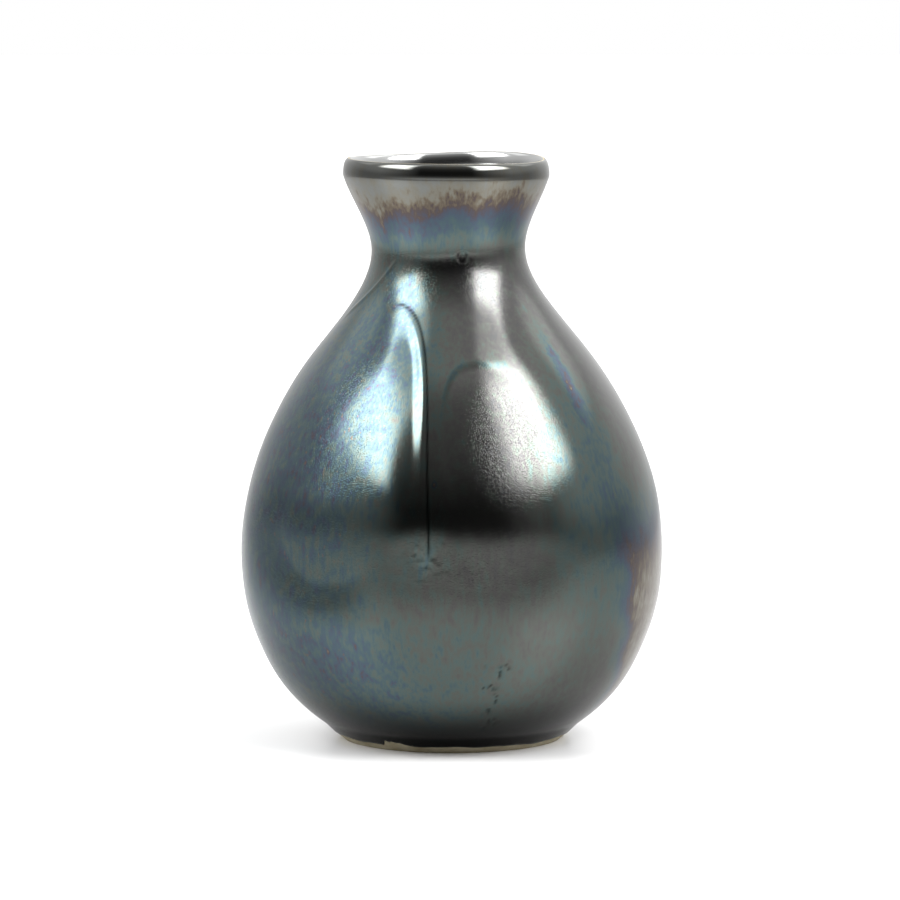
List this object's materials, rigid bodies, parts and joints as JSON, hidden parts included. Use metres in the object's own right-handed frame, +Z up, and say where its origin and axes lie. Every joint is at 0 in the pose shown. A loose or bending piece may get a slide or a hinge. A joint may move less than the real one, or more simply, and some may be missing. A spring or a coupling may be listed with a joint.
{
  "type": "sake bottle",
  "caption": "Pear-shaped stoneware sake bottle with a flared rolled lip, shallow pressed hollows and a dark lustre glaze over a bare buff foot.",
  "frame": {"origin": "on the table, in the middle of the foot ring", "axes": "+Z up through the mouth; -Y is the front, the side with the fold between two of the pressed hollows"},
  "size_m": [0.089, 0.0888, 0.123],
  "materials": {
    "buff_stoneware": "matte",
    "lustre_glaze": "gloss",
    "liner_glaze": "gloss",
    "base_glaze": "gloss"
  },
  "bodies": {
    "root": {"clay_body": "buff_stoneware", "outer_glaze": "lustre_glaze", "inner_glaze": "liner_glaze", "base_glaze": "base_glaze"}
  },
  "joints": []
}
